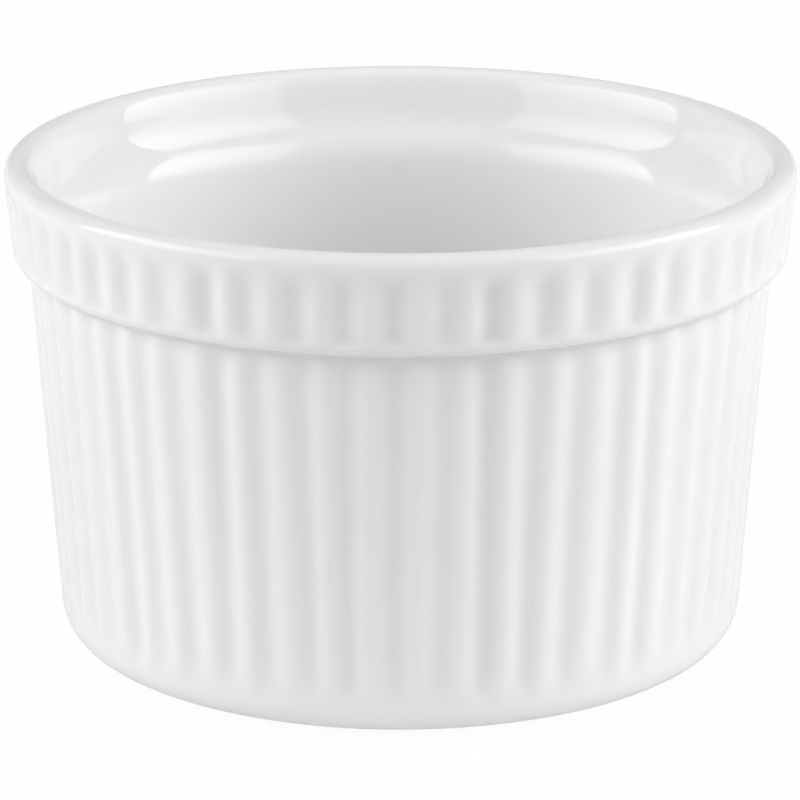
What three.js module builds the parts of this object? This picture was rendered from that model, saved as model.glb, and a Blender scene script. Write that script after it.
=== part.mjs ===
// A fluted porcelain creme brulee dish: a deep round cup with a plain lip, a fluted collar and a
// fluted wall. The fired body is bare where it stands, and glass glaze covers the rest of it.
// Millimetres, +Z up. The origin is on the table under the middle of the dish, and -Y is the front.
import * as THREE from 'three';

// Overall size
const rimDiameter = 89;
const height = 55.4;

// Lip and collar
const lipRounding = 1.6;
const collarDrop = 11.25;
const collarTaper = 0.7;
const collarOverhang = 1.8;
const collarEdgeShare = 0.7; // of the overhang, rounded at the collar's lower edge
const creaseShare = 0.25; // of the overhang, hollowed in the corner under the collar

// Wall and base
const wallTaper = 2.7;
const baseRounding = 4;

// Inside of the cup, where the lip slopes down to a sloping ledge
const lipInnerFacing = THREE.MathUtils.degToRad(158);
const collarInnerRounding = 12;
const collarInnerFacing = THREE.MathUtils.degToRad(168);
const collarInnerStraight = 1.1;
const ledgeFillet = 7.3;
const ledgeFacing = THREE.MathUtils.degToRad(139);
const ledgeRounding = 6;
const innerTaper = 2.2;
const floorThickness = 5;
const floorFillet = 6;

// Foot ring and the hollow inside it
const footWidth = 3;
const footEdgeRounding = 0.6;
const recessDepth = 1.2;
const recessFillet = 0.8;
const recessSlope = 2.2;

// Glaze
const glazeThickness = 0.3;
const glazePooling = 0.08;
const glazeEdgeFacing = THREE.MathUtils.degToRad(-50);

// Flutes
const fluteCount = 54;
const fluteDepth = 0.42;
const collarFluteShare = 1.35; // of the wall's flute depth, for the deeper flutes of the collar
const collarPlainBand = 0.8;
const wallFluteFade = 3;
const collarFluteFade = 1.3;
const pointsPerFlute = 4;

// Sizes that follow from those
const rimRadius = rimDiameter / 2;
const collarRadius = rimRadius - collarTaper;
const collarUnderside = height - collarDrop;
const collarEdgeRounding = collarEdgeShare * collarOverhang;
const creaseRounding = creaseShare * collarOverhang;
const wallTopRadius = collarRadius - collarOverhang;
const baseRadius = wallTopRadius - wallTaper;
const footOuterRadius = baseRadius - baseRounding;
const footInnerRadius = footOuterRadius - footWidth;
const downward = -Math.PI / 2;
const upward = Math.PI / 2;

// The section of the dish is a line that runs straight between bends. A bend is a circle, and its
// radius is positive where the surface is round and negative where it is hollow. All radii are those
// of the glazed surface, so the fired body has the same bends with the glaze thickness taken off.
function bend(r, z, radius, steps) {
  return { centre: new THREE.Vector2(r, z), radius, steps };
}

// The bend that the line comes to when it leaves another one with that facing and runs straight on
function follow(left, facing, straight, radius, steps) {
  const across = new THREE.Vector2(Math.cos(facing), Math.sin(facing));
  const along = new THREE.Vector2(-across.y, across.x);
  const centre = left.centre.clone().addScaledVector(across, left.radius - radius);
  return { centre: centre.addScaledVector(along, straight), radius, steps };
}

const recessCorner = bend(footInnerRadius - recessSlope, recessDepth - recessFillet, -recessFillet, 2);
const footEdge = bend(footInnerRadius, footEdgeRounding, footEdgeRounding + glazeThickness, 2);
const baseEdge = bend(footOuterRadius, baseRounding - glazeThickness, baseRounding, 2);
const crease = bend(wallTopRadius + creaseRounding, collarUnderside - creaseRounding, -creaseRounding, 1);
const collarEdge = bend(
  collarRadius - collarEdgeRounding, collarUnderside + collarEdgeRounding, collarEdgeRounding, 2,
);
const lip = bend(rimRadius - lipRounding, height - lipRounding, lipRounding, 6);
const collarInner = follow(lip, lipInnerFacing, 0, collarInnerRounding, 1);
const ledgeCorner = follow(collarInner, collarInnerFacing, collarInnerStraight, -ledgeFillet, 3);
const ledgeEdge = follow(ledgeCorner, ledgeFacing, 0, ledgeRounding, 3);
const innerBaseRadius = ledgeEdge.centre.x - ledgeRounding - innerTaper;
const floorCorner = bend(innerBaseRadius - floorFillet, floorThickness + floorFillet, -floorFillet, 4);

// The straight from one bend to the next touches both circles, and this is the way that it faces.
function facingBetween(first, second) {
  const reach = second.centre.clone().sub(first.centre);
  return reach.angle() - Math.acos((first.radius - second.radius) / reach.length());
}

// A round bend swings the facing one way and a hollow bend swings it back.
function swing(turned, from, to) {
  const forward = THREE.MathUtils.euclideanModulo(to - from, 2 * Math.PI);
  return turned.radius > 0 ? forward : forward - 2 * Math.PI;
}

// A station is one ring of the surface. Its place in the section depends on how far the surface is
// set in, and flute is its share of the wall's flute depth.
function stationOnBend(turned, facing) {
  const at = (inset) => new THREE.Vector2(
    turned.centre.x + (turned.radius - inset) * Math.cos(facing),
    turned.centre.y + (turned.radius - inset) * Math.sin(facing),
  );
  return { at, flute: 0 };
}

function stationBetween(first, second, share, flute) {
  const at = (inset) => first.at(inset).lerp(second.at(inset), share);
  return { at, flute };
}

function stationOnAxis(neighbour) {
  const at = (inset) => new THREE.Vector2(0, neighbour.at(inset).y);
  return { at, flute: 0 };
}

function arc(turned, from, to) {
  const step = swing(turned, from, to) / turned.steps;
  const facings = Array.from({ length: turned.steps + 1 }, (_, k) => from + step * k);
  return facings.map((facing) => stationOnBend(turned, facing));
}

// The stations in order: along the underside from the axis, up the outside, over the lip and down
// the inside to the middle of the floor.
const wallFacing = facingBetween(baseEdge, crease);
const undersideFacing = facingBetween(crease, collarEdge);
const collarFacing = facingBetween(collarEdge, lip);
const innerFacing = facingBetween(ledgeEdge, floorCorner);
const footInnerFacing = facingBetween(recessCorner, footEdge);

const recess = arc(recessCorner, downward, footInnerFacing);
const undersideGlazed = [stationOnAxis(recess[0]), ...recess];
const bareFoot = [...arc(footEdge, footInnerFacing, downward), stationOnBend(baseEdge, downward)];
const baseGlazed = arc(baseEdge, glazeEdgeFacing, wallFacing);
const creaseArc = arc(crease, wallFacing, undersideFacing);
const collarEdgeArc = arc(collarEdge, undersideFacing, collarFacing);
const lipArc = arc(lip, collarFacing, lipInnerFacing);
const collarInnerArc = arc(collarInner, lipInnerFacing, collarInnerFacing);
const ledgeCornerArc = arc(ledgeCorner, collarInnerFacing, ledgeFacing);
const ledgeEdgeArc = arc(ledgeEdge, ledgeFacing, innerFacing);
const inside = [
  ...collarInnerArc.slice(1),
  ...ledgeCornerArc,
  ...ledgeEdgeArc.slice(1),
  ...arc(floorCorner, innerFacing, upward),
];

const wallFoot = baseGlazed.at(-1);
const wallHead = creaseArc[0];
const wallLength = wallFoot.at(0).distanceTo(wallHead.at(0));
const wallFlute = stationBetween(wallFoot, wallHead, wallFluteFade / wallLength, 1);
const collarFoot = collarEdgeArc.at(-1);
const collarHead = lipArc[0];
const collarLength = collarFoot.at(0).distanceTo(collarHead.at(0));
const collarFade = collarFluteFade / collarLength;
const collarFluteEnd = 1 - collarPlainBand / collarLength;
const collarFlutes = [
  stationBetween(collarFoot, collarHead, collarFade, collarFluteShare),
  stationBetween(collarFoot, collarHead, collarFluteEnd - collarFade, collarFluteShare),
  stationBetween(collarFoot, collarHead, collarFluteEnd, 0),
];
wallHead.flute = 1;

const outside = [...baseGlazed, wallFlute, ...creaseArc, ...collarEdgeArc, ...collarFlutes, ...lipArc];
const outsideGlazed = [...outside, ...inside, stationOnAxis(inside.at(-1))];

const stations = [...undersideGlazed, ...bareFoot, ...outsideGlazed];
for (const [order, station] of stations.entries()) {
  station.order = order;
}

// The glazed surface and the fired surface under it. Glaze gathers in the flutes, so those of the
// fired body are a little deeper.
const glazedSurface = { inset: 0, fluteDepth };
const firedSurface = { inset: glazeThickness, fluteDepth: fluteDepth + glazePooling };

// One ring of points around the axis. A fluted ring has the corners of a flat ridge and a flat valley
// for each flute, and a plain ring has one point for each flute. They start a quarter of a flute round
// from the front, which puts plain rings evenly about the X and Y axes.
function ring(station, surface) {
  const { x: r, y: z } = station.at(surface.inset);
  if (r === 0) {
    return { order: station.order, points: [new THREE.Vector3(0, 0, z)] };
  }
  const pitch = (2 * Math.PI) / fluteCount;
  const stride = station.flute > 0 ? pitch / pointsPerFlute : pitch;
  const count = Math.round((2 * Math.PI) / stride);
  const points = [];
  for (let k = 0; k < count; k += 1) {
    const angle = pitch / 4 + k * stride;
    const valley = (1 + Math.cos(fluteCount * angle + Math.PI / pointsPerFlute)) / 2;
    const reach = r - station.flute * surface.fluteDepth * valley;
    points.push(new THREE.Vector3(reach * Math.sin(angle), -reach * Math.cos(angle), z));
  }
  return { order: station.order, points };
}

// Joins two rings with triangles. A four-sided patch is always split from the ring that comes first in
// the order of the stations, so two surfaces that share their rings share their triangles too.
function strip(first, second) {
  const a = first.numbers;
  const b = second.numbers;
  const next = (list, k) => list[(k + 1) % list.length];
  if (a.length === 1) {
    return b.flatMap((number, k) => [a[0], next(b, k), number]);
  }
  if (b.length === 1) {
    return a.flatMap((number, k) => [number, next(a, k), b[0]]);
  }
  if (a.length === b.length && first.order < second.order) {
    return a.flatMap((number, k) => [number, next(a, k), next(b, k), number, next(b, k), b[k]]);
  }
  if (a.length === b.length) {
    return a.flatMap((number, k) => [number, next(a, k), b[k], next(a, k), next(b, k), b[k]]);
  }
  const fineIsFirst = a.length > b.length;
  const fine = fineIsFirst ? a : b;
  const coarse = fineIsFirst ? b : a;
  const span = fine.length / coarse.length;
  const triangles = fine.map((number, k) => {
    const segment = Math.floor(k / span);
    const apex = k % span < span / 2 ? coarse[segment] : next(coarse, segment);
    return [number, next(fine, k), apex];
  });
  coarse.forEach((number, k) => triangles.push([fine[k * span + span / 2], next(coarse, k), number]));
  return triangles.flatMap((corners) => (fineIsFirst ? corners : corners.toReversed()));
}

// A closed surface through a list of rings that starts and ends on the axis
function loft(rings) {
  const positions = [];
  const numbered = rings.map(({ order, points }) => {
    const numbers = points.map((point) => positions.push(...point) / 3 - 1);
    return { order, numbers };
  });
  const triangles = numbered.slice(1).flatMap((second, k) => strip(numbered[k], second));
  const geometry = new THREE.BufferGeometry();
  geometry.setAttribute('position', new THREE.Float32BufferAttribute(positions, 3));
  geometry.setIndex(triangles);
  geometry.computeVertexNormals();
  return geometry;
}

function piece(name, rings, material) {
  const mesh = new THREE.Mesh(loft(rings), material);
  mesh.name = name;
  return mesh;
}

const glazed = (list) => list.map((station) => ring(station, glazedSurface));
const fired = (list) => list.map((station) => ring(station, firedSurface));

const porcelain = new THREE.MeshStandardMaterial({ color: 0xe9e3d8, roughness: 0.85, metalness: 0 });
const glaze = new THREE.MeshStandardMaterial({ color: 0xf5f4f1, roughness: 0.08, metalness: 0 });

const dish = new THREE.Group();
dish.add(piece('porcelain_body', fired(stations), porcelain));
dish.add(piece('glaze_coat', [...fired(outsideGlazed).reverse(), ...glazed(outsideGlazed)], glaze));
dish.add(piece('underside_glaze', [...glazed(undersideGlazed), ...fired(undersideGlazed).reverse()], glaze));

export default dish;
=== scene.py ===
# %% [markdown]
# # A fluted creme brulee dish in glazed porcelain
# The dish is one fired piece: a deep round cup with a thick lip, a fluted collar and a fluted wall. Clear
# glass glaze covers it inside and out, and only the ring that it stands on is left bare for the kiln shelf.
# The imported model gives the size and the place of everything, so it is loaded first and never moved. The
# surfaces are then made again, finely enough for the glaze to carry clean reflections.

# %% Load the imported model
import math
from collections import namedtuple

import bpy
import numpy as np
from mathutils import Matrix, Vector


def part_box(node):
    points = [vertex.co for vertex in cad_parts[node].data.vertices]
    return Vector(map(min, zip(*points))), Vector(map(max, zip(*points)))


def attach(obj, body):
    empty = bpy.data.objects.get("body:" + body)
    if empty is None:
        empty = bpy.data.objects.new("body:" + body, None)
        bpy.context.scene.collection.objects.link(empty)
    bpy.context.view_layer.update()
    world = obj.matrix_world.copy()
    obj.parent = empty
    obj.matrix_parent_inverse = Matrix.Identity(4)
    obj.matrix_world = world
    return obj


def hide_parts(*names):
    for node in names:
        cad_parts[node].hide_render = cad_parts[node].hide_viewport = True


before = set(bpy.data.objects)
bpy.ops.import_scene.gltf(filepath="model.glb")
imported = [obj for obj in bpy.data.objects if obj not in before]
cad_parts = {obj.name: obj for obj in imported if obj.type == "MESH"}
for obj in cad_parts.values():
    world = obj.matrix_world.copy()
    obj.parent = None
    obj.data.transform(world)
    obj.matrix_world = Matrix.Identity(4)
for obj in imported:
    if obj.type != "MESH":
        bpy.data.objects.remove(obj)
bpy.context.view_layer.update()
print("nodes:", ", ".join(sorted(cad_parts)))

# %% [markdown]
# ## Camera
# A product photograph of tableware is taken with a long lens from a little above the rim, so that the dish
# keeps its shape and the inside still shows. The camera's place comes from two sizes, its height angle and
# its distance. A small lens shift sets the framing without turning the camera.

# %% Camera
MM = 0.001
camera_elevation = math.radians(17.789)
camera_distance = 450.4 * MM
aim_point = Vector((0, 0, 25 * MM))
lens_length = 176.51
sensor_width = 36

to_camera = Vector((0, -math.cos(camera_elevation), math.sin(camera_elevation)))
camera_data = bpy.data.cameras.new("camera")
camera_data.lens = lens_length
camera_data.sensor_width = sensor_width
camera_data.shift_x = -0.0008
camera_data.shift_y = 0.0096
camera_data.clip_start = 10 * MM
camera = bpy.data.objects.new("camera", camera_data)
camera.location = aim_point + camera_distance * to_camera
camera.rotation_euler = (-to_camera).to_track_quat("-Z", "Y").to_euler()
bpy.context.scene.collection.objects.link(camera)
bpy.context.scene.camera = camera
print("camera at, mm:", [round(value / MM, 1) for value in camera.location])

# %% [markdown]
# ## Section of the dish
# A dish like this is formed on a turning mould, so its shape is one section carried round an axis. The
# section could be drawn by hand as a curve, but a potter's profile is simpler than that: straight runs
# that touch small circles. Each circle here is a bend, round where its radius is positive and hollow where
# it is negative. Sizes are in millimetres, and the rim and the height are read from the model.

# %% Sizes and bends
low_corner, high_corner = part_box("glaze_coat")
rim_radius = (high_corner.x - low_corner.x) / 2 / MM
height = high_corner.z / MM
lip_rounding = 1.6
collar_drop = 11.25
collar_taper = 0.7
collar_overhang = 1.8
collar_edge_rounding = 1.26
crease_rounding = 0.45
wall_taper = 2.7
base_rounding = 4
lip_inner_facing = math.radians(158)
collar_inner_rounding = 12
collar_inner_facing = math.radians(168)
collar_inner_straight = 1.1
ledge_fillet = 7.3
ledge_facing = math.radians(139)
ledge_rounding = 6
inner_taper = 2.2
floor_thickness = 5
floor_fillet = 6
foot_width = 3
foot_edge_rounding = 0.6
recess_depth = 1.2
recess_fillet = 0.8
recess_slope = 2.2
glaze_thickness = 0.3

collar_radius = rim_radius - collar_taper
collar_underside = height - collar_drop
wall_top_radius = collar_radius - collar_overhang
base_radius = wall_top_radius - wall_taper
foot_outer_radius = base_radius - base_rounding
foot_inner_radius = foot_outer_radius - foot_width

Bend = namedtuple("Bend", "r z radius")


def follow(bend, facing, straight, radius):
    """The bend that the line comes to when it leaves another one with that facing."""
    across, along = math.cos(facing), math.sin(facing)
    change = bend.radius - radius
    r = bend.r + change * across - straight * along
    z = bend.z + change * along + straight * across
    return Bend(r, z, radius)


recess_corner = Bend(foot_inner_radius - recess_slope, recess_depth - recess_fillet, -recess_fillet)
foot_edge = Bend(foot_inner_radius, foot_edge_rounding, foot_edge_rounding + glaze_thickness)
base_edge = Bend(foot_outer_radius, base_rounding - glaze_thickness, base_rounding)
crease = Bend(wall_top_radius + crease_rounding, collar_underside - crease_rounding, -crease_rounding)
collar_edge = Bend(
    collar_radius - collar_edge_rounding, collar_underside + collar_edge_rounding, collar_edge_rounding
)
lip = Bend(rim_radius - lip_rounding, height - lip_rounding, lip_rounding)
collar_inner = follow(lip, lip_inner_facing, 0, collar_inner_rounding)
ledge_corner = follow(collar_inner, collar_inner_facing, collar_inner_straight, -ledge_fillet)
ledge_edge = follow(ledge_corner, ledge_facing, 0, ledge_rounding)
inner_base_radius = ledge_edge.r - ledge_edge.radius - inner_taper
floor_corner = Bend(inner_base_radius - floor_fillet, floor_thickness + floor_fillet, -floor_fillet)
print(f"rim radius {rim_radius:.2f}, height {height:.2f}, wall foot radius {base_radius:.2f}")

# %% [markdown]
# ## Straight runs and softened corners
# The run from one bend to the next touches both circles, so the way that it faces follows from their
# places and radii. Real glaze melts and creeps, and it never leaves a sharp change from straight to round.
# The line is therefore sampled closely and smoothed a little along its length, which keeps reflections
# from breaking at each bend. A subdivision surface could do this too, but it would shrink the shape more.

# %% Trace a line through the bends
glaze_softening = 0.35
sample_step = 0.05
arc_step = math.radians(2)
down, up = -math.pi / 2, math.pi / 2


def facing_between(first, second):
    reach = math.hypot(second.r - first.r, second.z - first.z)
    heading = math.atan2(second.z - first.z, second.r - first.r)
    return heading - math.acos(max(-1, min(1, (first.radius - second.radius) / reach)))


def trace(bends, first_facing, last_facing):
    """Points of the line through the bends, from one facing on the first to another on the last."""
    runs = [facing_between(a, b) for a, b in zip(bends, bends[1:])]
    points = []
    for bend, start, stop in zip(bends, [first_facing, *runs], [*runs, last_facing]):
        turn = (stop - start) % math.tau
        if bend.radius < 0:
            turn -= math.tau
        facing = start + turn * np.linspace(0, 1, 2 + int(abs(turn) / arc_step))
        around = np.column_stack((np.cos(facing), np.sin(facing)))
        points.append(np.array((bend.r, bend.z)) + bend.radius * around)
    return np.concatenate(points)


def soften(points, amount):
    """The line sampled evenly and smoothed along its length, with both ends kept."""
    length = np.concatenate(([0], np.cumsum(np.hypot(*np.diff(points, axis=0).T))))
    places = np.linspace(0, length[-1], 1 + round(length[-1] / sample_step))
    line = np.column_stack([np.interp(places, length, column) for column in points.T])
    width = round(4 * amount / sample_step)
    weights = np.exp(-0.5 * (np.arange(-width, width + 1) * sample_step / amount) ** 2)
    weights /= weights.sum()
    before = 2 * line[0] - line[width:0:-1]
    after = 2 * line[-1] - line[-2 : -width - 2 : -1]
    padded = np.concatenate((before, line, after))
    return np.column_stack([np.convolve(column, weights, "valid") for column in padded.T])


axis_start = np.array([[0, recess_depth]])
axis_end = np.array([[0, floor_thickness]])
bends = [recess_corner, foot_edge, base_edge, crease, collar_edge, lip]
bends += [collar_inner, ledge_corner, ledge_edge, floor_corner]
glazed_line = soften(np.concatenate((axis_start, trace(bends, down, up), axis_end)), glaze_softening)
print(f"section: {len(glazed_line)} samples, highest point {glazed_line[:, 1].max():.3f} mm")

# %% [markdown]
# ## Where the glaze ends
# Before firing, the ring that the dish stands on is wiped clean, or the glaze would weld it to the shelf.
# The glaze stops there in a low rounded bead. One line therefore makes three surfaces: the fired body lies
# a glaze thickness under it everywhere, and the two glazed stretches lie on it and dive to the body at the
# bead. Modelling the bead as a thickness that falls to nothing keeps each skin closed and free of slivers.

# %% Split the line into body and glaze
glaze_edge_facing = math.radians(-50)
bead_length = 0.4


def facings(line):
    tangent = np.gradient(line, axis=0)
    return np.unwrap(np.arctan2(-tangent[:, 0], tangent[:, 1]))


def sink(line, amounts):
    """The line moved against the way that it faces, towards the inside of the dish's wall."""
    facing = facings(line)
    return line - np.column_stack((np.cos(facing), np.sin(facing))) * np.reshape(amounts, (-1, 1))


def nearest_sample(line, bend, facing):
    place = (bend.r + bend.radius * math.cos(facing), bend.z + bend.radius * math.sin(facing))
    return int(np.argmin(np.hypot(*(line - place).T)))


def bead(from_edge):
    """How far the glaze is sunk at a distance from its edge: a quarter of an ellipse."""
    share = np.clip(1 - from_edge / bead_length, 0, 1)
    return glaze_thickness * (1 - np.sqrt(1 - share**2))


inner_edge = nearest_sample(glazed_line, recess_corner, facing_between(recess_corner, foot_edge))
outer_edge = nearest_sample(glazed_line, base_edge, glaze_edge_facing)
fired_line = sink(glazed_line, np.full(len(glazed_line), glaze_thickness))
distance_along = np.arange(len(glazed_line)) * sample_step
glaze_sunk = bead(distance_along - distance_along[outer_edge])
underside_sunk = bead(distance_along[inner_edge] - distance_along)
coat_line = sink(glazed_line, glaze_sunk)[outer_edge:]
underside_line = sink(glazed_line, underside_sunk)[: inner_edge + 1]
print(f"glaze edges at radius {coat_line[0, 0]:.2f} and {underside_line[-1, 0]:.2f} mm")

# %% [markdown]
# ## Stations
# A station is one ring of a finished surface. Evenly spaced rings would waste points on the straight wall
# and starve the lip, so the spacing follows the curvature: a ring for every few degrees of turn, and at
# least one for every millimetre or two. Each station keeps the way that it faces and how sharply the line
# turns there, because glaze runs thin on round edges and gathers in hollows.

# %% Choose stations along a line
Stations = namedtuple("Stations", "r z facing curvature")


def stations(line, longest_step, turn_step):
    facing = facings(line)
    step = np.hypot(*np.gradient(line, axis=0).T)
    turn = np.gradient(facing)
    density = step / longest_step + np.abs(turn) / turn_step
    total = np.concatenate(([0], np.cumsum((density[1:] + density[:-1]) / 2)))
    picks = np.linspace(0, total[-1], 1 + math.ceil(total[-1]))
    return Stations(*(np.interp(picks, total, values) for values in (*line.T, facing, turn / step)))


fine, finest, rough = (1.7, math.radians(5.8)), (0.3, math.radians(6)), (2.2, math.radians(18))
coat_stations = stations(coat_line, *fine)
underside_stations = stations(underside_line, *fine)
foot_stations = stations(fired_line[inner_edge : outer_edge + 1], *finest)
under_coat_stations = stations(fired_line[outer_edge:], *rough)
above_underside_stations = stations(fired_line[: inner_edge + 1], *rough)
for part, rings in (("coat", coat_stations), ("underside", underside_stations), ("foot", foot_stations)):
    print(f"{part}: {len(rings.r)} rings")

# %% [markdown]
# ## Flutes
# Fifty-four shallow flutes run up the wall and again round the collar. They come from a mould that was cut
# by hand, so no two are quite alike: each is a little deeper, shallower or further round than its
# neighbours, and the soft body leans as it dries. A bump map could fake them, but they catch the light at
# the edge of the dish, so they are real relief. Each one is a wave around the axis, and a few slow waves
# with no common measure spread, lean and weaken it, which gives the same dish on every run.

# %% Relief of the flutes and of the hand-finished surface
flute_count = 54
flute_depth = 0.42
collar_flute_share = 1.35
flute_phase = 0.15
glaze_pooling = 0.08
wall_flute_fade = 3
wall_flute_end = 0.9
collar_flute_fade = 1.3
collar_foot_fade = 1.5
collar_foot_drop = 0.3
collar_plain_band = 0.8
hand_waviness = 0.02


def smooth_step(start, stop, values):
    share = np.clip((values - start) / (stop - start), 0, 1)
    return share * share * (3 - 2 * share)


def waves(*terms):
    """Slow waves added up. A term is a size, an angle in radians and its phase."""
    return sum(size * np.sin(angle + phase) for size, angle, phase in terms)


def flute_strength(rings):
    wall = smooth_step(base_edge.z, base_edge.z + wall_flute_fade, rings.z)
    wall *= 1 - smooth_step(crease.z - wall_flute_end, crease.z, rings.z)
    collar_foot, collar_top = collar_edge.z - collar_foot_drop, lip.z - collar_plain_band
    collar = smooth_step(collar_foot, collar_foot + collar_foot_fade, rings.z)
    collar *= 1 - smooth_step(collar_top - collar_flute_fade, collar_top, rings.z)
    outside = np.arange(len(rings.z)) < np.argmax(rings.z)
    return np.where(outside, wall + collar_flute_share * collar, 0)


def flute_valley(angle, z):
    """1 at the bottom of a flute and 0 on a ridge, with the drift of a hand-cut mould."""
    spread = waves((0.82, angle, 3.1), (0.7, 2 * angle, 1.6), (0.16, 7 * angle, 0.4))
    lean = waves((0.2, 13 * angle + 0.05 * z, 2.1), (0.14, 22 * angle - 0.03 * z, 4.4))
    depth = 1 + waves((0.1, 5 * angle, 1.0), (0.12, 17 * angle, 3.2), (0.1, 29 * angle + 0.04 * z, 0.3))
    return depth * (1 + np.cos(flute_count * angle + flute_phase + spread + lean)) / 2


def waviness(angle, r, z):
    """How far the surface sinks in the slow hollows that turning and wiping leave."""
    turned = waves((0.4, 3 * angle + 0.11 * z, 0.9), (0.25, 11 * angle + 0.2 * z, 5.0))
    wiped = waves((0.35, 5 * angle - 0.07 * r, 2.7))
    return hand_waviness * (1 + turned + wiped)


print(f"flutes {flute_count}, pitch at the collar {math.tau * collar_radius / flute_count:.2f} mm")

# %% [markdown]
# ## From rings to meshes
# Each station becomes a ring of points, and neighbouring rings are joined by faces. The flutes need ten
# points each, but the plain inside and the hidden faces between glaze and body don't, so a ring may have
# fewer points than the next, as long as one count is a multiple of the other. The same rings serve the body
# and the back of the glaze, so the two touch exactly, as fused glass does.

# %% Ring and loft helpers
ridge_points, plain_points, centre_points = 540, 270, 54
plain_floor_radius = 12
# The flute share of the glaze depth is partly real pooling and partly painted shade in the valleys and
# painted light on the ridges.
thin_glaze, flute_pooling_and_shade = 0.5, 0.35
# Painted shade in the crease under the collar: how strong it is, how tall it runs and how far out it reaches.
painted_crease_shade, painted_crease_shade_height, painted_crease_shade_width = 0.5, 0.7, 0.5
sharp_angle = math.radians(60)


def ring(rings, k, columns, extra_depth=0.0):
    """Points of one ring, each with a glaze depth that holds painted shade and light: below 0 lighter, above
    0 darker.
    """
    r, z, facing, curvature = (values[k] for values in rings)
    if r < 1e-6:
        return np.array([[0, 0, z, 0]])
    angle = (math.tau * np.arange(columns) - flute_phase * columns / flute_count) / columns
    strength = flute_strength(rings)[k]
    valley = flute_valley(angle, z)
    sunk = waviness(angle, r, z) * min(1, r / plain_floor_radius)
    reach = r - strength * (flute_depth + extra_depth) * valley - sunk * math.cos(facing)
    level = z - sunk * math.sin(facing)
    # Flute valleys get the darker glaze colour and ridges the lighter one: partly pooled and thin glaze,
    # partly painted shade and painted light.
    depth = flute_pooling_and_shade * min(strength, 1) * (2 * valley - 1) - thin_glaze * curvature
    # Painted shade: the glaze at the crease under the collar gets the darker colour, standing in for the
    # collar's shadow.
    if r > wall_top_radius - painted_crease_shade_width:
        depth += painted_crease_shade * math.exp(-(((z - crease.z) / painted_crease_shade_height) ** 2))
    depth = np.clip(depth, -1, 1)
    return np.column_stack((reach * np.sin(angle), -reach * np.cos(angle), level, depth))


def strip(first, second):
    """Faces between two rings of vertex numbers, which run the same way round."""
    a, b = list(first), list(second)
    if len(a) == len(b):
        return [(a[k - 1], a[k], b[k], b[k - 1]) for k in range(len(a))]
    fine_ring, coarse_ring = (a, b) if len(a) > len(b) else (b, a)
    span, rest = divmod(len(fine_ring), len(coarse_ring))
    if rest:
        raise ValueError("one ring's points must be a multiple of the other's")
    faces = []
    for k, corner in enumerate(coarse_ring):
        following = coarse_ring[(k + 1) % len(coarse_ring)]
        for step in range(span):
            start = k * span + step
            apex = corner if step < span / 2 else following
            faces.append((fine_ring[start], fine_ring[(start + 1) % len(fine_ring)], apex))
        if len(coarse_ring) > 1:
            faces.append((fine_ring[k * span + math.ceil(span / 2)], following, corner))
    return faces if fine_ring is a else [face[::-1] for face in faces]


def loft(name, rings):
    """A closed smooth mesh through rings that start and end on the axis."""
    points = np.concatenate(rings)
    ends = np.cumsum([0, *map(len, rings)])
    numbers = [range(start, stop) for start, stop in zip(ends, ends[1:])]
    faces = [face for pair in zip(numbers, numbers[1:]) for face in strip(*pair)]
    mesh = bpy.data.meshes.new(name)
    mesh.from_pydata((points[:, :3] * MM).tolist(), [], faces)
    mesh.shade_smooth()
    mesh.set_sharp_from_angle(angle=sharp_angle)
    depth = mesh.attributes.new("glaze_depth_and_shade", "FLOAT", "POINT")
    depth.data.foreach_set("value", points[:, 3].astype(np.float32))
    piece = bpy.data.objects.new(name, mesh)
    bpy.context.scene.collection.objects.link(piece)
    print(f"{name}: {len(points)} points, {len(faces)} faces")
    return piece


# %% [markdown]
# ## The three pieces
# The fired body is the dish itself, bare only at the foot. The glaze coat is a closed skin about a third of
# a millimetre thick, from the bead above the foot up the outside, over the lip and down to the middle of the
# floor. A second skin glazes the shallow recess under the dish. Modelling the skins as solids, not only as a
# material, gives the glaze a true edge that can be seen and touched.

# %% Fired body, glaze coat and underside glaze
def hidden_rings(rings):
    """Rings between body and glaze, where only the fit matters."""
    columns = np.where(rings.r < plain_floor_radius, centre_points, plain_points)
    return [ring(rings, k, columns[k], glaze_pooling) for k in range(len(rings.r))]


def coat_columns(k):
    inside = k > np.argmax(coat_stations.z)
    if inside and coat_stations.r[k] < plain_floor_radius:
        return centre_points
    return plain_points if inside else ridge_points


def underside_columns(k):
    return centre_points if underside_stations.r[k] < plain_floor_radius else plain_points


under_coat = hidden_rings(under_coat_stations)
above_underside = hidden_rings(above_underside_stations)
foot = [ring(foot_stations, k, ridge_points) for k in range(len(foot_stations.r))]
coat = [ring(coat_stations, k, coat_columns(k)) for k in range(len(coat_stations.r))]
underside = [ring(underside_stations, k, underside_columns(k)) for k in range(len(underside_stations.r))]

fired_body = loft("fired_body", above_underside[:-1] + foot + under_coat[1:])
glazed_skin = loft("glazed_skin", under_coat[:0:-1] + coat)
underside_skin = loft("underside_skin", underside + above_underside[-2::-1])

for piece, solid, slot in (
    (fired_body, "porcelain_body", "porcelain"),
    (glazed_skin, "glaze_coat", "glaze"),
    (underside_skin, "underside_glaze", "glaze"),
):
    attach(piece, "root")
    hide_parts(solid)

# %% [markdown]
# ## Writing shaders as sums
# A shader is a graph of small nodes, and a graph is hard to read as code. One small class wraps the output
# of a node, so that adding or multiplying two of them adds a Math node. Every other node comes from one
# function that takes the node's type, its settings and what goes into its sockets.

# %% Shader helpers
class Wire:
    """The output of a shader node, which can be used in sums."""

    def __init__(self, socket):
        self.socket = socket

    def math(self, operation, first, second):
        return node(self.socket.id_data, "ShaderNodeMath", {"operation": operation}, {0: first, 1: second})

    def __add__(self, other):
        return self.math("ADD", self, other)

    def __sub__(self, other):
        return self.math("SUBTRACT", self, other)

    def __rsub__(self, other):
        return self.math("SUBTRACT", other, self)

    def __mul__(self, other):
        return self.math("MULTIPLY", self, other)

    __radd__ = __add__
    __rmul__ = __mul__


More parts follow.
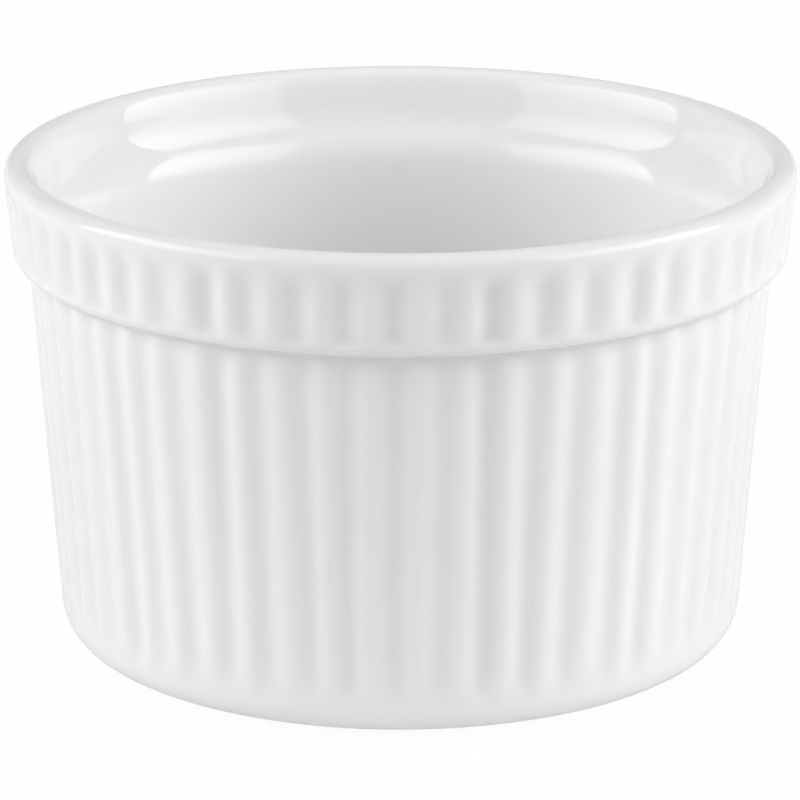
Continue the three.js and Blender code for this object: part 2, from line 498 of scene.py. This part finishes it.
def node(tree, kind, settings, sockets, output=0):
    """Adds a node, sets it up, and gives back one of its outputs."""
    made = tree.nodes.new(kind)
    for name, value in settings.items():
        setattr(made, name, value)
    for name, value in sockets.items():
        if isinstance(value, Wire):
            tree.links.new(value.socket, made.inputs[name])
        else:
            made.inputs[name].default_value = value
    return Wire(made.outputs[output]) if made.outputs else None


def empty_tree(owner):
    owner.use_nodes = True
    owner.node_tree.nodes.clear()
    return owner.node_tree


def noise(tree, place, size, detail=2.0):
    """Cloudy noise around 0.5, with features about that size in metres."""
    return node(tree, "ShaderNodeTexNoise", {}, {"Vector": place, "Scale": 1 / size, "Detail": detail})


def fade(tree, value, start, stop):
    """0 below start and 1 above stop, or the other way round, with soft ends."""
    sockets = {"Value": value, "From Min": start, "From Max": stop}
    return node(tree, "ShaderNodeMapRange", {"interpolation_type": "SMOOTHSTEP"}, sockets)


def blend(tree, factor, first, second):
    return node(tree, "ShaderNodeMix", {"data_type": "RGBA"}, {0: factor, 6: first, 7: second}, 2)


# %% [markdown]
# ## Glaze
# Clear glaze over white porcelain is bright and almost neutral. Where it pools in the flutes, its thickness
# lends a breath of grey, and where it draws thin, on the lip and the ridges, the white body shows through.
# The grey is
# also painted shade: it darkens the flute valleys more than pooling would, and the wall in the crease under
# the collar, while the lighter ridges are partly painted light. The glass is never quite flat: it has the
# faint swell of a melt, a few iron specks and pinholes, and slightly duller patches. All of these come from
# the depth and painted shade stored with each point and from noise in the space of the dish, so they stay put
# from every side.

# %% Glaze finish
# The pooled white is partly painted shade, in the flute valleys and the crease under the collar; the thin
# white is partly painted light on the ridges.
glaze_white = (0.9, 0.897, 0.891, 1)
pooled_and_shaded_white = (0.83, 0.827, 0.82, 1)
thin_and_lit_white = (0.918, 0.915, 0.908, 1)
speck_colour = (0.42, 0.37, 0.31, 1)
speck_tint = 0.12
speck_spacing = 3.2 * MM
cloud_size, swell_size, peel_size = 14 * MM, 9 * MM, 2.6 * MM
melt_relief = 0.006 * MM
glaze_ior = 1.4


def glaze_finish():
    material = bpy.data.materials.new("clear_glaze")
    tree = empty_tree(material)
    place = node(tree, "ShaderNodeTexCoord", {}, {}, "Object")
    depth = node(tree, "ShaderNodeAttribute", {"attribute_name": "glaze_depth_and_shade"}, {}, "Fac")
    cloud = noise(tree, place, cloud_size, 3.0)
    peel = noise(tree, place, peel_size)
    swell = noise(tree, place, swell_size, 1.0)
    cells = {"Vector": place, "Scale": 1 / speck_spacing}
    speck = fade(tree, node(tree, "ShaderNodeTexVoronoi", {}, cells, "Distance"), 0.06, 0.02)
    # The depth attribute carries painted shade in the valleys and under the collar, and painted light on the
    # ridges, besides the glaze's thickness.
    depth_shade_and_cloud = depth + 0.3 * (cloud - 0.5)
    pooled_and_shaded = fade(tree, depth_shade_and_cloud, -0.2, 1.0)
    thin_and_lit = fade(tree, depth_shade_and_cloud, 0.2, -1.0)
    colour = blend(tree, pooled_and_shaded, glaze_white, pooled_and_shaded_white)
    colour = blend(tree, thin_and_lit, colour, thin_and_lit_white)
    colour = blend(tree, speck_tint * speck, colour, speck_colour)
    relief = 0.7 * swell + 0.3 * peel - 0.5 * speck
    normal = node(tree, "ShaderNodeBump", {}, {"Height": relief, "Distance": melt_relief})
    glass = {
        "Base Color": colour,
        "Roughness": 0.015 + 0.03 * cloud + 0.15 * speck,
        "IOR": glaze_ior,
        "Normal": normal,
    }
    surface = node(tree, "ShaderNodeBsdfPrincipled", {}, glass)
    node(tree, "ShaderNodeOutputMaterial", {}, {"Surface": surface})
    return material


clear_glaze = glaze_finish()
for piece in (glazed_skin, underside_skin):
    piece.data.materials.append(clear_glaze)
print("glaze:", len(clear_glaze.node_tree.nodes), "nodes")

# %% [markdown]
# ## Bare porcelain
# The foot is fired clay without glass: dry, a little warmer than the glaze, and fine as an eggshell. It is
# rubbed smooth after firing, which leaves short scuffs along the ring, and it picks up grey from every shelf
# it is slid across. A soft shader with grain in its colour, its roughness and its bump does all of this.

# %% Bare porcelain finish
bisque = (0.79, 0.755, 0.7, 1)
bisque_dark = (0.62, 0.585, 0.53, 1)
shelf_grey = (0.45, 0.44, 0.42, 1)
grain_size, scuff_size, stain_size = 0.25 * MM, 1.6 * MM, 4 * MM
grain_relief = 0.03 * MM
scuff_turn, scuff_stretch = (0, 0, 0.6), (1, 6, 1)
bisque_ior = 1.5


def bisque_finish():
    material = bpy.data.materials.new("bare_porcelain")
    tree = empty_tree(material)
    place = node(tree, "ShaderNodeTexCoord", {}, {}, "Object")
    grain = noise(tree, place, grain_size, 4.0)
    stain = noise(tree, place, stain_size, 3.0)
    drawn_out = {"Vector": place, "Rotation": scuff_turn, "Scale": scuff_stretch}
    stretched = node(tree, "ShaderNodeMapping", {}, drawn_out)
    scuff = fade(tree, noise(tree, stretched, scuff_size, 3.0), 0.58, 0.72)
    colour = blend(tree, fade(tree, grain, 0.45, 0.75), bisque, bisque_dark)
    colour = blend(tree, 0.5 * scuff * fade(tree, stain, 0.4, 0.7), colour, shelf_grey)
    normal = node(tree, "ShaderNodeBump", {}, {"Height": grain - 0.4 * scuff, "Distance": grain_relief})
    dry = {"Base Color": colour, "Roughness": 0.85 - 0.25 * scuff, "IOR": bisque_ior, "Normal": normal}
    surface = node(tree, "ShaderNodeBsdfPrincipled", {}, dry)
    node(tree, "ShaderNodeOutputMaterial", {}, {"Surface": surface})
    return material


bare_porcelain = bisque_finish()
fired_body.data.materials.append(bare_porcelain)
print("bare porcelain:", len(bare_porcelain.node_tree.nodes), "nodes")

# %% [markdown]
# ## Floor and surroundings
# White ware on a white sweep needs a background that reads as white without flooding the dish with light.
# The floor is therefore a plain matte sheet for the light that bounces, and mostly a flat white of strength
# one for what the camera sees, with a share of that white for what the glaze mirrors. A little of the matte
# sheet stays in view and keeps the shadow. The sheet ends just in front of the dish, as a sweep does at the
# edge of its table, so the front of the dish isn't lit from below more than its sides are.

# %% White floor and room
floor_half = 3.0
floor_front = -0.32
floor_white = (0.9, 0.9, 0.9, 1)
white_share = 0.96
mirrored_share = 0.3
room_grey = (0.19, 0.19, 0.19, 1)
pure_white = (1, 1, 1, 1)


def light_path(tree, kind):
    """1 for rays of that kind and 0 for all others."""
    return node(tree, "ShaderNodeLightPath", {}, {}, f"Is {kind} Ray")


floor_mesh = bpy.data.meshes.new("floor")
front_edge = [(-floor_half, floor_front, 0), (floor_half, floor_front, 0)]
back_edge = [(floor_half, floor_half, 0), (-floor_half, floor_half, 0)]
floor_mesh.from_pydata(front_edge + back_edge, [], [(0, 1, 2, 3)])
floor = bpy.data.objects.new("floor", floor_mesh)
bpy.context.scene.collection.objects.link(floor)

floor_material = bpy.data.materials.new("white_sweep")
floor_tree = empty_tree(floor_material)
matte = node(floor_tree, "ShaderNodeBsdfDiffuse", {}, {"Color": floor_white})
shown = node(floor_tree, "ShaderNodeEmission", {}, {"Color": pure_white, "Strength": 1.0})
mirrored = light_path(floor_tree, "Glossy") + light_path(floor_tree, "Transmission")
seen_white = white_share * (light_path(floor_tree, "Camera") + mirrored_share * mirrored)
sweep = node(floor_tree, "ShaderNodeMixShader", {}, {0: seen_white, 1: matte, 2: shown})
node(floor_tree, "ShaderNodeOutputMaterial", {}, {"Surface": sweep})
floor_mesh.materials.append(floor_material)

room = bpy.data.worlds.new("room")
room_tree = empty_tree(room)
room_colour = blend(room_tree, light_path(room_tree, "Camera"), room_grey, pure_white)
room_light = node(room_tree, "ShaderNodeBackground", {}, {"Color": room_colour, "Strength": 1.0})
node(room_tree, "ShaderNodeOutputWorld", {}, {"Surface": room_light})
bpy.context.scene.world = room
bpy.context.scene.view_settings.view_transform = "Standard"
print(f"floor: {2 * floor_half:.1f} m wide, {floor_half - floor_front:.2f} m deep")

# %% [markdown]
# ## Two soft panels
# Glossy white ware shows its shape by what it mirrors. Two tall diffusing panels stand left and right of the
# dish, with a gap in front where the camera is: the gap mirrors as the grey middle of the rim, and the panels
# as the bright patches on both sides. Each panel is an area lamp whose edges are set by the angles at which
# they are seen from the dish, and its power follows from how bright its face should look. A lit cloth is
# brightest in front of its lamp and dim below the sill of its frame, and both show in the reflections.

# %% Panels
panel_distance = 0.9
panel_turn = math.radians(57)
panel_front_edge = math.radians(41.5)
panel_back_edge = math.radians(102.5)
panel_sill = 0.2 * panel_distance
panel_sill_blur = 0.01
panel_top = 1.2 * panel_distance
panel_middle = (panel_sill + panel_top) / 2
panel_edge_loss = 0.5
panel_low_share = 0.1
panel_hot_reach = 1.05 * panel_distance
left_brightness, right_brightness = 4.55, 4.85


def panel_edge(turn):
    """The middle of a panel's upright edge that is seen from the dish at that angle from the front."""
    reach = panel_distance / math.cos(turn - panel_turn)
    return Vector((reach * math.sin(turn), -reach * math.cos(turn), panel_top / 2))


def area_lamp(name, width, depth, brightness, place, facing):
    """A flat lamp whose power follows from how bright its face should look."""
    light = bpy.data.lights.new(name, "AREA")
    light.shape = "RECTANGLE"
    light.size, light.size_y = width, depth
    light.energy = brightness * math.pi * width * depth
    lamp = bpy.data.objects.new(name, light)
    lamp.location = place
    lamp.rotation_euler = Vector(facing).to_track_quat("-Z", "Y").to_euler()
    lamp.visible_camera = False
    bpy.context.scene.collection.objects.link(lamp)
    print(f"{name}: {width:.2f} by {depth:.2f} m, {light.energy:.1f} W")
    return light


def grade(light):
    """Makes a panel brightest in front of its lamp and dim below its sill."""
    tree = empty_tree(light)
    place = node(tree, "ShaderNodeNewGeometry", {}, {}, "Position")
    along, level = (node(tree, "ShaderNodeSeparateXYZ", {}, {"Vector": place}, axis) for axis in "YZ")
    above = (level - panel_middle) * (1 / (panel_top - panel_middle))
    aside = along * (1 / panel_hot_reach)
    cloth = 1 - panel_edge_loss * above * above
    lit = fade(tree, level, panel_sill - panel_sill_blur, panel_sill + panel_sill_blur)
    strength = (panel_low_share + lit * (cloth - panel_low_share)) * (1 - aside * aside)
    glow = node(tree, "ShaderNodeEmission", {}, {"Strength": strength})
    node(tree, "ShaderNodeOutputLight", {}, {"Surface": glow})


front, back = panel_edge(panel_front_edge), panel_edge(panel_back_edge)
centre = (front + back) / 2
panel_width = (back - front).length
for side, name, brightness in ((-1, "left_panel", left_brightness), (1, "right_panel", right_brightness)):
    place = (side * centre.x, centre.y, centre.z)
    inward = (-side * math.sin(panel_turn), math.cos(panel_turn), 0)
    grade(area_lamp(name, panel_width, panel_top, brightness, place, inward))

# %% [markdown]
# ## Fill light
# With panels at the sides alone, the inside and the back of the rim would be too dark. A dim panel overhead
# and a low one behind the dish fill them. Raising the room's own grey could do that too, but it would also
# grey every dark gap in the reflections, and those gaps are what makes the glaze look like glass.

# %% Overhead and back panels
overhead_brightness = 0.3
overhead_width, overhead_depth, overhead_height = 1.1, 1.2, 1.1
back_brightness = 0.37
back_width, back_height, back_distance = 3.0, 0.6, 1.2

overhead_place = (0, 0, overhead_height)
area_lamp("overhead_panel", overhead_width, overhead_depth, overhead_brightness, overhead_place, (0, 0, -1))
back_place = (0, back_distance, back_height / 2)
area_lamp("back_panel", back_width, back_height, back_brightness, back_place, (0, -1, 0))
